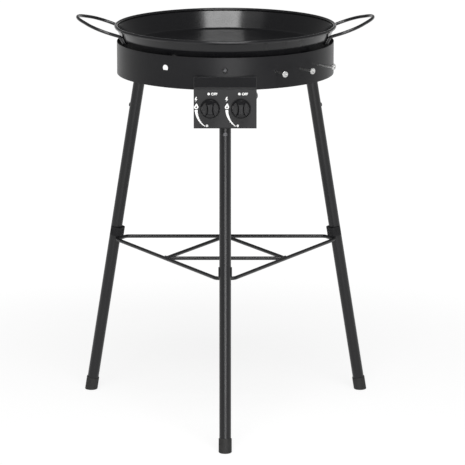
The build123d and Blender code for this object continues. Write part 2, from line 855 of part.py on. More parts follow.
fasteners = {
    "leg_screws": leg_screw(),
    "bracket_screws": bracket_screw(),
    "bracket_nuts": bracket_nut(),
    "brace_screws": brace_screw(),
}
for name, piece in fasteners.items():
    nodes[name] = group([Rot(0, 0, turn) * piece for turn in leg_azimuths.values()])

valve_pieces = {
    "knob": knob(),
    "valve_stem": valve_stem(),
    "valve_bonnet": valve_bonnet(),
    "valve_body": valve_body(),
    "valve_plug": valve_plug(),
    "valve_spring": valve_spring(),
    "valve_jet": valve_jet(),
}
for side, x in knob_places.items():
    place = on_panel(x, knob_drop, 0)
    for name, piece in valve_pieces.items():
        nodes[f"{side}_{name}"] = place * piece
    nodes[f"{side}_piezo"] = place * piezo(-1 if side == "left" else 1)

burners = {"outer": ("left", outer_ring_radius), "inner": ("right", inner_ring_radius)}
for name, (side, ring_radius) in burners.items():
    nodes[f"burner_ring_{name}"] = burner_ring(knob_places[side], ring_radius)
    nodes[f"mixing_tube_{name}"] = mixing_tube(knob_places[side], ring_radius)

nodes["burner_arms"] = group([burner_arm(azimuth) for azimuth in arm_azimuths()])
electrodes = list(zip(arm_azimuths(), electrode_places()))
nodes["electrode_insulators"] = group([electrode_insulator(*place) for place in electrodes])
nodes["electrode_tips"] = group([electrode_tip(*place) for place in electrodes])

os.makedirs("parts", exist_ok=True)
for name, shape in nodes.items():
    export_step(shape, f"parts/{name}.step")
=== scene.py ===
# %% [markdown]
# # A griddle pan on a gas burner, dressed from its CAD solids
# The solids already hold the shapes: pan, wind shield, legs, brace, panel and valves.
# This lesson gives each of them the finish it has on the real stove, adds the small things that a CAD model
# leaves out, which are the printed marks and the weld beads, and lights it as a studio would.
# The frame comes first, because every later piece is placed from it.

import json
from math import atan2, cos, pi, radians, sin

import bmesh
import bpy
from mathutils import Matrix, Vector

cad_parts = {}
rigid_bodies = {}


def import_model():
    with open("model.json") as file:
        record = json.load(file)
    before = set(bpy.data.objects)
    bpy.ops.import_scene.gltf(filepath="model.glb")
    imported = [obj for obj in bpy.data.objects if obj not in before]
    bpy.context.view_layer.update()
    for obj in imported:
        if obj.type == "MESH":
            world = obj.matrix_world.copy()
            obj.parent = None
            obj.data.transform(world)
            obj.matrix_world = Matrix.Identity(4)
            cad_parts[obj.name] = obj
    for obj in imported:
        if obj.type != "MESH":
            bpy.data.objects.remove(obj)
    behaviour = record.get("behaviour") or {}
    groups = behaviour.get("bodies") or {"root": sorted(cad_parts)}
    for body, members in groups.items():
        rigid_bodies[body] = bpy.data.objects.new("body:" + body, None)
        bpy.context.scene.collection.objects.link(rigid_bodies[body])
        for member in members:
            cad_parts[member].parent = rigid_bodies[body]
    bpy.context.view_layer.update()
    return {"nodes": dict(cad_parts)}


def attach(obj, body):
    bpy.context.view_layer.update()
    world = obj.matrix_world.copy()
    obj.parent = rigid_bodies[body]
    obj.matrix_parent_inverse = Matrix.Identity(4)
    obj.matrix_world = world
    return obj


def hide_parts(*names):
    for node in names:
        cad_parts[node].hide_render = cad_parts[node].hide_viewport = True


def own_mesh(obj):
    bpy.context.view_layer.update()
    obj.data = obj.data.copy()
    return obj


for leftover in list(bpy.data.objects):
    bpy.data.objects.remove(leftover, do_unlink=True)
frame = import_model()
nodes = frame["nodes"]


def rounded(values, digits=4):
    return [round(value, digits) for value in values]


# %% [markdown]
# ## Helpers for a finish
# A finish is a Principled shader whose colour, roughness and bump come from noise on Object coordinates.
# Those coordinates are metres on every piece, so a noise scale of 500 has features of about 2 mm.
# Image textures would need UV maps and files, so noise is the simpler choice for paint, enamel and metal.
# A value that is the same all over stays on the shader's own socket, where an export can find it.


# %% Helpers for a finish
class Finish:
    """A material with its Principled shader, and short ways to add noise, ramps and bump."""

    def __init__(self, name, **sockets):
        self.material = bpy.data.materials.new(name)
        self.material.use_nodes = True
        self.tree = self.material.node_tree
        self.shader = self.tree.nodes["Principled BSDF"]
        for socket, value in sockets.items():
            self.shader.inputs[socket.replace("_", " ")].default_value = value
        self.place = self.add("ShaderNodeTexCoord").outputs["Object"]
        self.normal = None

    def add(self, kind):
        return self.tree.nodes.new(kind)

    def link(self, out, into):
        self.tree.links.new(out, into)

    def stretched(self, scale):
        """Object coordinates scaled by three numbers, for grain that runs one way."""
        mapping = self.add("ShaderNodeMapping")
        mapping.inputs["Scale"].default_value = scale
        self.link(self.place, mapping.inputs["Vector"])
        return mapping.outputs["Vector"]

    def noise(self, scale, detail=3.0, rough=0.55, place=None):
        node = self.add("ShaderNodeTexNoise")
        node.inputs["Scale"].default_value = scale
        node.inputs["Detail"].default_value = detail
        node.inputs["Roughness"].default_value = rough
        self.link(place or self.place, node.inputs["Vector"])
        return node.outputs["Fac"]

    def ramp(self, factor, low, high, start=0.3, end=0.7):
        """Colours from low to high while the factor goes from start to end."""
        node = self.add("ShaderNodeValToRGB")
        stops = node.color_ramp.elements
        stops[0].position, stops[1].position = start, end
        stops[0].color, stops[1].color = (*low, 1.0), (*high, 1.0)
        self.link(factor, node.inputs["Fac"])
        return node.outputs["Color"]

    def spread(self, factor, low, high, start=0.3, end=0.7):
        """One number from low to high while the factor goes from start to end."""
        node = self.add("ShaderNodeMapRange")
        for socket, value in (("From Min", start), ("From Max", end), ("To Min", low), ("To Max", high)):
            node.inputs[socket].default_value = value
        self.link(factor, node.inputs["Value"])
        return node.outputs["Result"]

    def colour(self, out):
        self.link(out, self.shader.inputs["Base Color"])

    def rough(self, out):
        self.link(out, self.shader.inputs["Roughness"])

    def bump(self, height, depth, strength):
        """Adds relief of a depth in metres on top of what is there."""
        node = self.add("ShaderNodeBump")
        node.inputs["Strength"].default_value = strength
        node.inputs["Distance"].default_value = depth
        self.link(height, node.inputs["Height"])
        if self.normal:
            self.link(self.normal, node.inputs["Normal"])
        self.normal = node.outputs["Normal"]
        self.link(self.normal, self.shader.inputs["Normal"])


def black(level):
    """A black of some level with a trace of blue in it."""
    return (level, level, level + 0.001)


def dress(finish, *names):
    """Gives the finish to CAD nodes by name."""
    for name in names:
        slots = nodes[name].data.materials
        slots.clear()
        slots.append(finish.material)
    print(finish.material.name, "on", len(names), "nodes")


def by_leg(name):
    return [f"{name}_{side}" for side in ("front", "left", "right")]


def by_side(name):
    return [f"{side}_{name}" for side in ("left", "right")]


# %% [markdown]
# ## Glossy black enamel on the pan
# Pan and handles are steel under a glassy black enamel, which mirrors the studio almost sharply.
# A plain black gloss would look like plastic, because real enamel pools a little as it is fired:
# a slow wave of some 40 mm bends the reflections and dulls them in patches.
# Fine rings run round the wall, left from the turning of the sheet, so one noise is squeezed along Z.

# %% Glossy black enamel on the pan
RING_GRAIN = (3, 3, 420)

pan_enamel = Finish("pan_enamel", IOR=1.5, Specular_IOR_Level=0.35)
pool = pan_enamel.noise(24, detail=2)
speck = pan_enamel.noise(900, detail=2)
rings = pan_enamel.noise(1, detail=2, place=pan_enamel.stretched(RING_GRAIN))
pan_enamel.colour(pan_enamel.ramp(speck, black(0.006), black(0.013), start=0.35, end=0.75))
pan_enamel.rough(pan_enamel.spread(pool, 0.14, 0.2))
pan_enamel.bump(rings, depth=0.00003, strength=0.5)
pan_enamel.bump(pool, depth=0.0004, strength=0.12)
dress(pan_enamel, "griddle_pan")

wire_enamel = Finish("wire_enamel", IOR=1.5)
run = wire_enamel.noise(140)
wire_enamel.colour(wire_enamel.ramp(run, black(0.006), black(0.014)))
wire_enamel.rough(wire_enamel.spread(run, 0.12, 0.22))
wire_enamel.bump(run, depth=0.0004, strength=0.2)
dress(wire_enamel, "pan_handle_left", "pan_handle_right")

# %% [markdown]
# ## Stove paint on the sheet metal and the tubes
# Drum, panel, legs and brace are sprayed with black heat-resistant paint, then baked.
# On the drum and the panel it is almost matt and only fades round the curve. On the tubes it is satin,
# and light makes a soft streak along them, so the paints differ in how much they mirror.
# Sprayed paint has a fine orange peel, here bumps of about a millimetre, and a dusting that varies slowly.

# %% Stove paint


def stove_paint(name, low, high, dull, shine, peel, mirror):
    """dull and shine are the ends of the roughness, and peel is the depth of the orange peel in metres."""
    paint = Finish(name, IOR=1.5, Specular_IOR_Level=mirror)
    dusting = paint.noise(9, detail=4)
    paint.colour(paint.ramp(dusting, low, high))
    paint.rough(paint.spread(dusting, shine, dull))
    paint.bump(paint.noise(650, detail=2), depth=peel, strength=0.5)
    paint.bump(paint.noise(1500, detail=2), depth=peel * 0.4, strength=0.4)
    return paint


drum_paint = stove_paint(
    "drum_paint", black(0.01), black(0.013), dull=0.37, shine=0.33, peel=0.00006, mirror=0.15
)
dress(drum_paint, "wind_shield", *by_leg("leg_bracket"), *by_leg("leg_spigot"), "burner_arms")
panel_paint = stove_paint(
    "panel_paint", black(0.02), black(0.025), dull=0.52, shine=0.46, peel=0.00007, mirror=0.16
)
dress(panel_paint, "control_panel")
leg_paint = stove_paint(
    "leg_paint", black(0.009), black(0.012), dull=0.34, shine=0.28, peel=0.00004, mirror=0.34
)
dress(leg_paint, *by_leg("leg"), "brace_outer_frame", "brace_inner_frame")

# %% [markdown]
# ## Plate, plastics and rubber
# The strip above the knobs is a bare, smooth plate that mirrors very little.
# Knobs, saddles and igniters are moulded: the tool's fine spark texture leaves a dull, even grain.
# The feet are soft rubber, duller still, with pale scuffs.

# %% Plate, plastics and rubber
plate_gloss = Finish("plate_gloss", IOR=1.45, Specular_IOR_Level=0.035)
haze = plate_gloss.noise(60)
plate_gloss.colour(plate_gloss.ramp(haze, black(0.007), black(0.01)))
plate_gloss.rough(plate_gloss.spread(haze, 0.2, 0.3))
plate_gloss.bump(plate_gloss.noise(200, detail=2), depth=0.00003, strength=0.3)
dress(plate_gloss, "blank_name_plate")


def moulded(name, low, high, dull, shine, depth, mirror):
    """dull and shine are the ends of the roughness, and depth is that of the grain in metres."""
    plastic = Finish(name, IOR=1.46, Specular_IOR_Level=mirror)
    flow = plastic.noise(70)
    plastic.colour(plastic.ramp(flow, low, high))
    plastic.rough(plastic.spread(flow, shine, dull))
    plastic.bump(plastic.noise(2200, detail=2), depth=depth, strength=0.5)
    return plastic


knob_plastic = moulded(
    "knob_plastic", black(0.008), black(0.012), dull=0.36, shine=0.28, depth=0.00005, mirror=0.13
)
dress(knob_plastic, *by_side("knob"))
saddle_plastic = moulded(
    "saddle_plastic", black(0.009), black(0.014), dull=0.6, shine=0.5, depth=0.00006, mirror=0.2
)
dress(saddle_plastic, *by_leg("brace_saddle"))
igniter_plastic = moulded(
    "igniter_plastic", black(0.025), black(0.035), dull=0.55, shine=0.45, depth=0.00005, mirror=0.5
)
dress(igniter_plastic, *by_side("piezo"))

foot_rubber = Finish("foot_rubber", IOR=1.45)
scuff = foot_rubber.noise(120, detail=5, rough=0.65)
foot_rubber.colour(
    foot_rubber.ramp(scuff, (0.012, 0.012, 0.012), (0.032, 0.031, 0.03), start=0.4, end=0.8)
)
foot_rubber.rough(foot_rubber.spread(scuff, 0.55, 0.8))
foot_rubber.bump(foot_rubber.noise(900), depth=0.0001, strength=0.4)
dress(foot_rubber, *by_leg("foot_cap"))

# %% [markdown]
# ## Metals and ceramic of the burner
# Pegs and nuts are bright zinc plate, while the screws and the inlet elbow that show are plated black.
# Valves are die-cast. Their plugs and jets and the hose nipple are turned brass, and the gas tubes are
# plated steel. The burner rings are rough cast iron with a breath of rust, and the spark plugs are glazed
# ceramic. One recipe serves every bare metal: a base colour with blotches, fine marks in the bump, and
# Metallic on its socket.

# %% Metals and ceramic of the burner


def metal(name, low, high, shine, dull, marks, depth):
    """marks is the scale of the tool marks, and depth how deep they are in metres."""
    plate = Finish(name, Metallic=1.0)
    blotch = plate.noise(160, detail=4)
    fine = plate.noise(marks)
    plate.colour(plate.ramp(blotch, low, high))
    plate.rough(plate.spread(fine, shine, dull))
    plate.bump(fine, depth=depth, strength=0.4)
    return plate


zinc = metal(
    "bright_zinc", (0.5, 0.5, 0.5), (0.66, 0.66, 0.65), shine=0.22, dull=0.4, marks=2500, depth=0.00004
)
dress(zinc, "utensil_pegs", "peg_nuts", "bracket_nuts")
black_zinc = metal(
    "black_zinc", (0.035, 0.035, 0.037), (0.06, 0.06, 0.062),
    shine=0.25, dull=0.42, marks=2500, depth=0.00004,
)
dress(black_zinc, "bracket_screws", "leg_screws", "brace_screws", "inlet_elbow")
die_cast = metal(
    "die_cast", (0.42, 0.42, 0.43), (0.58, 0.58, 0.59), shine=0.38, dull=0.55, marks=1400, depth=0.0001
)
dress(die_cast, *by_side("valve_body"), *by_side("valve_bonnet"))
turned_brass = metal(
    "turned_brass", (0.58, 0.4, 0.15), (0.74, 0.54, 0.23), shine=0.2, dull=0.36, marks=1800, depth=0.00005
)
dress(turned_brass, *by_side("valve_plug"), *by_side("valve_jet"), "hose_nipple")
spring_steel = metal(
    "spring_steel", (0.42, 0.42, 0.43), (0.56, 0.56, 0.57), shine=0.22, dull=0.36, marks=2200, depth=0.00003
)
dress(spring_steel, *by_side("valve_stem"), *by_side("valve_spring"))
plated_tube = metal(
    "plated_tube", (0.32, 0.32, 0.33), (0.46, 0.46, 0.46), shine=0.32, dull=0.5, marks=900, depth=0.00005
)
dress(plated_tube, "gas_manifold", "mixing_tube_outer", "mixing_tube_inner")
spark_wire = metal(
    "spark_wire", (0.3, 0.28, 0.26), (0.46, 0.45, 0.44), shine=0.3, dull=0.46, marks=1600, depth=0.00004
)
dress(spark_wire, "electrode_tips")

cast_iron = Finish("cast_iron", Metallic=0.0, IOR=1.6)
rust = cast_iron.noise(90, detail=6, rough=0.7)
cast_iron.colour(cast_iron.ramp(rust, (0.022, 0.021, 0.021), (0.075, 0.05, 0.036), start=0.45, end=0.85))
cast_iron.rough(cast_iron.spread(rust, 0.55, 0.8))
cast_iron.bump(cast_iron.noise(520, detail=4, rough=0.6), depth=0.0006, strength=0.5)
dress(cast_iron, "burner_ring_outer", "burner_ring_inner")

glazed_ceramic = Finish("glazed_ceramic", IOR=1.5)
glaze = glazed_ceramic.noise(220)
glazed_ceramic.colour(glazed_ceramic.ramp(glaze, (0.74, 0.73, 0.7), (0.82, 0.81, 0.78)))
glazed_ceramic.rough(glazed_ceramic.spread(glaze, 0.12, 0.24))
glazed_ceramic.bump(glaze, depth=0.0002, strength=0.2)
dress(glazed_ceramic, "electrode_insulators")

# %% [markdown]
# ## Helpers for new pieces
# New pieces are built as a bmesh, turned the right way out, and kept as an object that rides on a CAD body.
# An operator doesn't always say what it made, so the vertices that were there before are noted first, and
# the rest are the new ones.

# %% Helpers for new pieces


def added(bm, known):
    return [v for v in bm.verts if v not in known]


def faces_of(verts):
    return list({face for v in verts for face in v.link_faces})


def turn_outwards(bm, smooth):
    """Turns every face outwards, and shades all of them smooth or flat."""
    bmesh.ops.recalc_face_normals(bm, faces=bm.faces)
    for face in bm.faces:
        face.smooth = smooth


def keep_piece(name, bm, finish, body):
    """Makes an object at the origin from a bmesh, with its finish, and lets it ride on a CAD body."""
    mesh = bpy.data.meshes.new(name)
    bm.to_mesh(mesh)
    bm.free()
    mesh.materials.append(finish.material)
    piece = bpy.data.objects.new(name, mesh)
    bpy.context.scene.collection.objects.link(piece)
    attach(piece, body)
    print(name, "has", len(mesh.polygons), "faces and rides on", body)
    return piece


# %% [markdown]
# ## Shapes of print
# Each knob has white marks screen-printed round it: OFF with a dot at the top, a spark, a flame and a
# sweep that thins towards low heat, ended by a dot.
# They could be a texture, but print has sharp edges and some thickness, so each is a thin closed solid.
# A mark is drawn flat, in millimetres about the knob's axis, and then given its thickness.

# %% Shapes of print
PRINT_SINK, PRINT_STAND = 0.05, 0.12
DOT_SIDES, DROP_SIDES, SWEEP_STEPS = 40, 48, 48
# Shares of the spark's height
SPARK_CORNERS = (
    (-0.04, 0.5), (-0.27, -0.04), (0, -0.06), (-0.15, -0.5), (0.27, 0.08), (0.04, 0.1), (0.2, 0.5)
)
DROP_BELLY, DROP_TAPER = 1.4, 0.6
# The open middle of the flame, as shares of its size, lean and height
EYE_SIZE, EYE_LEAN, EYE_DROP = 0.38, 0.4, 0.15
LETTER_WEIGHT = 0.045
LETTER_MERGE = 1e-5


def thicken(bm, faces):
    """Gives flat faces the print's thickness: they sink into the paint, and a copy stands proud of it."""
    bottom = list({v for face in faces for v in face.verts})
    made = bmesh.ops.extrude_face_region(bm, geom=faces, use_keep_orig=True)["geom"]
    top = [v for v in made if isinstance(v, bmesh.types.BMVert)]
    bmesh.ops.translate(bm, verts=bottom, vec=(0, 0, -PRINT_SINK))
    bmesh.ops.translate(bm, verts=top, vec=(0, 0, PRINT_STAND))


def dot(bm, x, y, across):
    verts = bmesh.ops.create_circle(bm, cap_ends=True, segments=DOT_SIDES, radius=across / 2)["verts"]
    bmesh.ops.translate(bm, verts=verts, vec=(x, y, 0))
    thicken(bm, faces_of(verts))


def spark(bm, x, y, height):
    """A lightning bolt."""
    verts = [bm.verts.new((x + u * height, y + v * height, 0)) for u, v in SPARK_CORNERS]
    thicken(bm, [bm.faces.new(verts)])


def drop(bm, width, height, lean):
    """The outline of a drop with its tip up: a circle that narrows as it rises. Returns its edges."""
    verts = bmesh.ops.create_circle(bm, cap_ends=False, segments=DROP_SIDES, radius=0.5)["verts"]
    for v in verts:
        rise = v.co.y + 0.5
        v.co.x = v.co.x * max(1 - rise, 0) ** DROP_TAPER * DROP_BELLY * width + rise**2 * lean
        v.co.y *= height
    return list({edge for v in verts for edge in v.link_edges})


def flame(bm, x, y, width, height, lean):
    """A drop that is open in the middle, made by bridging two outlines."""
    known = set(bm.verts)
    outside = drop(bm, width, height, lean)
    inside = drop(bm, width * EYE_SIZE, height * EYE_SIZE, lean * EYE_LEAN)
    eye = list({v for edge in inside for v in edge.verts})
    bmesh.ops.translate(bm, verts=eye, vec=(0, -height * EYE_DROP, 0))
    faces = bmesh.ops.bridge_loops(bm, edges=outside + inside)["faces"]
    bmesh.ops.translate(bm, verts=added(bm, known), vec=(x, y, 0))
    thicken(bm, faces)


def sweep(bm, x, y, radius, start, end, wide, thin):
    """A band on an arc about a point beside the knob, spun in one go and then thinned towards its end."""
    known = set(bm.verts)
    centre = Vector((x, y, 0))
    turn, span = radians(start), radians(end - start)
    ray = Vector((cos(turn), sin(turn), 0))
    ends = [bm.verts.new(centre + ray * (radius + half)) for half in (-wide / 2, wide / 2)]
    edge = bm.edges.new(ends)
    bmesh.ops.spin(bm, geom=[*ends, edge], cent=centre, axis=(0, 0, 1), angle=span, steps=SWEEP_STEPS)
    verts = added(bm, known)
    for v in verts:
        arm = v.co - centre
        share = (atan2(arm.y, arm.x) % (2 * pi) - turn) / span
        width = 1 - share * (1 - thin / wide)
        v.co = centre + arm.normalized() * (radius + (arm.length - radius) * width)
    thicken(bm, faces_of(verts))


def word(bm, text, x, y, width, height):
    """Lettering fitted to a box whose left edge and middle line are given."""
    known = set(bm.verts)
    curve = bpy.data.curves.new(text, "FONT")
    curve.body = text
    curve.offset = LETTER_WEIGHT
    letters = bpy.data.objects.new(text, curve)
    bpy.context.scene.collection.objects.link(letters)
    bpy.context.view_layer.update()
    shaped = letters.evaluated_get(bpy.context.evaluated_depsgraph_get())
    flat = bpy.data.meshes.new_from_object(shaped)
    bpy.data.objects.remove(letters)
    bm.from_mesh(flat)
    bmesh.ops.remove_doubles(bm, verts=added(bm, known), dist=LETTER_MERGE)
    verts = added(bm, known)
    left, right = min(v.co.x for v in verts), max(v.co.x for v in verts)
    low, high = min(v.co.y for v in verts), max(v.co.y for v in verts)
    bmesh.ops.translate(bm, verts=verts, vec=(-left, -(low + high) / 2, 0))
    bmesh.ops.scale(bm, verts=verts, vec=(width / (right - left), height / (high - low), 1))
    bmesh.ops.translate(bm, verts=verts, vec=(x, y, 0))
    thicken(bm, faces_of(verts))


# %% [markdown]
# ## Marks printed on the panel
# The panel leans back a little below its fold, and the knobs' axes stand square on it.
# So one turn, from the drawing's axes to the panel's, lays every mark flat on the sheet.

# %% Marks printed on the panel
MM = 0.001
PANEL_FOLD = Vector((0, -0.2429, 0.7634))
PANEL_TILT = radians(5)
KNOB_DROP = 0.041
KNOB_AXES = {"left": -0.0316, "right": 0.0332}
panel_up = Vector((0, sin(PANEL_TILT), cos(PANEL_TILT)))
panel_out = Vector((0, -cos(PANEL_TILT), sin(PANEL_TILT)))
panel_turn = Matrix((Vector((1, 0, 0)), panel_up, panel_out)).transposed().to_4x4()


def knob_middle(axis_x):
    """Where a knob's axis meets the front of the panel."""
    return PANEL_FOLD + Vector((axis_x, 0, 0)) - panel_up * KNOB_DROP


def on_panel(place):
    """From a drawing in millimetres to the panel's axes at a place."""
    return Matrix.Translation(place) @ panel_turn @ Matrix.Scale(MM, 4)


white_print = Finish("white_print", IOR=1.45)
ink = white_print.noise(700)
white_print.colour(white_print.ramp(ink, (0.78, 0.78, 0.77), (0.86, 0.86, 0.85)))
white_print.rough(white_print.spread(ink, 0.45, 0.6))
white_print.bump(ink, depth=0.00004, strength=0.3)

for side, axis_x in KNOB_AXES.items():
    bm = bmesh.new()
    dot(bm, x=-3.2, y=30.9, across=5.6)
    word(bm, "OFF", x=2.2, y=30.7, width=12.8, height=5.6)
    spark(bm, x=-30.0, y=19.0, height=11.0)
    flame(bm, x=-29.5, y=5.0, width=8.6, height=12.4, lean=0.9)
    sweep(bm, x=14.5, y=-1.6, radius=44.2, start=181.8, end=235.3, wide=6.0, thin=1.6)
    dot(bm, x=-6.7, y=-36.5, across=5.2)
    turn_outwards(bm, smooth=False)
    bm.transform(on_panel(knob_middle(axis_x)))
    keep_piece(f"{side}_panel_print", bm, white_print, "stand")

# %% [markdown]
# ## Return springs
# A knob is pushed in before it turns, and a coil between plug and stem collar brings it out again.
# A solid coil can't shorten, so at the end of the push the collar would cut into it.
# A coil of mesh takes its place: a ring of wire, spun about the valve's axis and lifted at each step.
# It stands on the plug, where the solid one does, and rides on the plug's body.

# %% Return springs
# Millimetres
WIRE_RADIUS = 0.6
COIL_RADIUS = 5.6
COIL_LENGTH = 10.0
COIL_TURNS = 5
WIRE_SIDES, TURN_STEPS = 16, 32
coil_steps = COIL_TURNS * TURN_STEPS
coil_lift = (COIL_LENGTH - 2 * WIRE_RADIUS) / coil_steps
wire_start = Matrix.Translation((COIL_RADIUS, 0, WIRE_RADIUS)) @ Matrix.Rotation(pi / 2, 4, "X")

for side, axis_x in KNOB_AXES.items():
    middle = knob_middle(axis_x)
    solid = nodes[f"{side}_valve_spring"].data
    seat = middle + panel_out * min(panel_out.dot(v.co - middle) for v in solid.vertices)
    bm = bmesh.new()
    bmesh.ops.create_circle(bm, segments=WIRE_SIDES, radius=WIRE_RADIUS)
    bm.transform(wire_start)
    bmesh.ops.spin(
        bm, geom=bm.verts[:] + bm.edges[:], cent=(0, 0, 0), axis=(0, 0, 1), dvec=(0, 0, coil_lift),
        angle=2 * pi * COIL_TURNS, steps=coil_steps,
    )
    bmesh.ops.holes_fill(bm, edges=[edge for edge in bm.edges if edge.is_boundary])
    turn_outwards(bm, smooth=True)
    bm.transform(on_panel(seat))
    coil = keep_piece(f"{side}_return_spring", bm, spring_steel, f"{side}_plug")
    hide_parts(f"{side}_valve_spring")
    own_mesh(coil)

# %% [markdown]
# ## A weld bead
# A weld is a short row of ripples that swells and dies away, so its outline is spun round the bead's line.
# It lies in the groove between the two parts it joins, and takes their finish, being painted with them.

# %% A weld bead
BEAD_SIDES, RIPPLE_STEPS = 16, 6
BEAD_BLUNTNESS = 6
RIPPLE_DEPTH = 0.05
BEAD_MERGE = 1e-7


def weld_bead(bm, start, end, radius, ripples):
    """One rippled bead from start to end."""
    known = set(bm.verts)
    length = (end - start).length
    steps = ripples * RIPPLE_STEPS
    outline = []
    for i in range(steps + 1):
        share = i / steps
        swell = max(1 - (2 * share - 1) ** BEAD_BLUNTNESS, 0) ** 0.5
        ripple = 1 - RIPPLE_DEPTH + RIPPLE_DEPTH * cos(2 * pi * ripples * share)
        outline.append(bm.verts.new((radius * swell * ripple, 0, length * share)))
    edges = [bm.edges.new(pair) for pair in zip(outline, outline[1:])]
    bmesh.ops.spin(
        bm, geom=outline + edges, cent=(0, 0, 0), axis=(0, 0, 1),
        angle=2 * pi, steps=BEAD_SIDES, use_merge=True,
    )
    bmesh.ops.remove_doubles(bm, verts=added(bm, known), dist=BEAD_MERGE)
    turn = (end - start).to_track_quat("Z", "Y").to_matrix().to_4x4()
    bmesh.ops.transform(bm, matrix=Matrix.Translation(start) @ turn, verts=added(bm, known))


# %% [markdown]
# ## Welds of the handles
# Each foot of a handle lies against the pan's flared wall and is welded to it along both of its sides.
# The wall is straight between its lower and its upper end, so a place on it follows from the height.

# %% Welds of the handles
# Radius and height of the wall's lower and upper end
PAN_FLOOR = (0.218, 0.8203)
PAN_BEAD = (0.23745, 0.86115)
WIRE_OFF_WALL = 0.0043
FOOT_AZIMUTH = radians(17)
FOOT_TOP, FOOT_END = 0.8464, 0.8304
FOOT_WELD_RADIUS, FOOT_WELD_RIPPLES = 0.0021, 6
FOOT_WELD_ASIDE, FOOT_WELD_LIFT = 0.0033, -0.0018
wall_run, wall_rise = PAN_BEAD[0] - PAN_FLOOR[0], PAN_BEAD[1] - PAN_FLOOR[1]
flare = atan2(wall_run, wall_rise)


def beside_foot(height, side_x, side_y, aside):
    """A place beside a handle's foot, in the groove between wire and wall: aside is along the wall."""
    share = (height - PAN_FLOOR[1]) / wall_rise
    radius = PAN_FLOOR[0] + wall_run * share + WIRE_OFF_WALL / cos(flare)
    out = Vector((side_x * cos(FOOT_AZIMUTH), side_y * sin(FOOT_AZIMUTH), 0))
    along = Vector((-out.y, out.x, 0))
    normal = out * cos(flare) - Vector((0, 0, sin(flare)))
    return out * radius + Vector((0, 0, height)) + along * aside + normal * FOOT_WELD_LIFT


for side, side_x in (("left", -1), ("right", 1)):
    bm = bmesh.new()
    for side_y in (-1, 1):
        for aside in (-FOOT_WELD_ASIDE, FOOT_WELD_ASIDE):
            top, end = (beside_foot(height, side_x, side_y, aside) for height in (FOOT_TOP, FOOT_END))
            weld_bead(bm, top, end, FOOT_WELD_RADIUS, FOOT_WELD_RIPPLES)
    turn_outwards(bm, smooth=True)
    keep_piece(f"{side}_handle_welds", bm, wire_enamel, "pan")

# %% [markdown]
# ## Welds of the brace
# The corners of the inner triangle touch the middles of the outer frame's long sides.
# There the rods are welded above and below, and the beads run along the outer frame.

# %% Welds of the brace
BRACE_HEIGHT = 0.3604
BRACE_TOUCH = 0.1483
BRACE_TURNS = (60, 180, 300)
BRACE_WELD_RADIUS, BRACE_WELD_RIPPLES = 0.0024, 5
BRACE_WELD_HALF, BRACE_WELD_RISE = 0.008, 0.0027

bm = bmesh.new()
for turn in BRACE_TURNS:
    out = Vector((sin(radians(turn)), -cos(radians(turn)), 0))
    along = Vector((-out.y, out.x, 0)) * BRACE_WELD_HALF
    for rise in (-BRACE_WELD_RISE, BRACE_WELD_RISE):
        middle = out * BRACE_TOUCH + Vector((0, 0, BRACE_HEIGHT + rise))
        weld_bead(bm, middle - along, middle + along, BRACE_WELD_RADIUS, BRACE_WELD_RIPPLES)
turn_outwards(bm, smooth=True)
keep_piece("brace_welds", bm, leg_paint, "stand")

# %% [markdown]
# ## Helpers for the floor and the room
# Floor and room look white to the camera, but they shouldn't light the object more than real ones would.
# So their materials tell the rays that show them, straight or mirrored, from those that only carry light.

# %% Helpers for the floor and the room


def seen_rays(tree):
    """1 for the rays that show a surface, directly, in a mirror or through glass, and 0 for all others."""
    rays = tree.nodes.new("ShaderNodeLightPath")
    total = rays.outputs["Is Camera Ray"]
    for kind in ("Is Glossy Ray", "Is Transmission Ray"):
        either = tree.nodes.new("ShaderNodeMath")
        either.operation = "MAXIMUM"
        tree.links.new(total, either.inputs[0])
        tree.links.new(rays.outputs[kind], either.inputs[1])
        total = either.outputs[0]
    return total


def eased(tree, value, start, end, low, high):
    """One number that eases from low to high while the value goes from start to end."""
    node = tree.nodes.new("ShaderNodeMapRange")
    node.interpolation_type = "SMOOTHSTEP"
    for socket, setting in (("From Min", start), ("From Max", end), ("To Min", low), ("To Max", high)):
        node.inputs[socket].default_value = setting
    tree.links.new(value, node.inputs["Value"])
    return node.outputs["Result"]


# %% [markdown]
# ## Floor
# The floor is a plain pale sheet. What shows of it should be almost white and still hold the shadow.
# So for the rays that show it, it glows a little below white near the stand and closer to white further
# off, and a thin coat of grey paper over the glow takes the light and the shadow of the feet.
# For all other rays it is plain paper.

# %% Floor
FLOOR_HALF = 400.0
PAPER_GREY, COAT_GREY = 0.9, 0.22
NEAR_GLOW, FAR_GLOW = 0.83, 0.96
GLOW_START, GLOW_END = 0.7, 2.0

bm = bmesh.new()
bmesh.ops.create_grid(bm, x_segments=1, y_segments=1, size=FLOOR_HALF)
mesh = bpy.data.meshes.new("floor")
bm.to_mesh(mesh)
bm.free()
floor = bpy.data.objects.new("floor", mesh)
bpy.context.scene.collection.objects.link(floor)

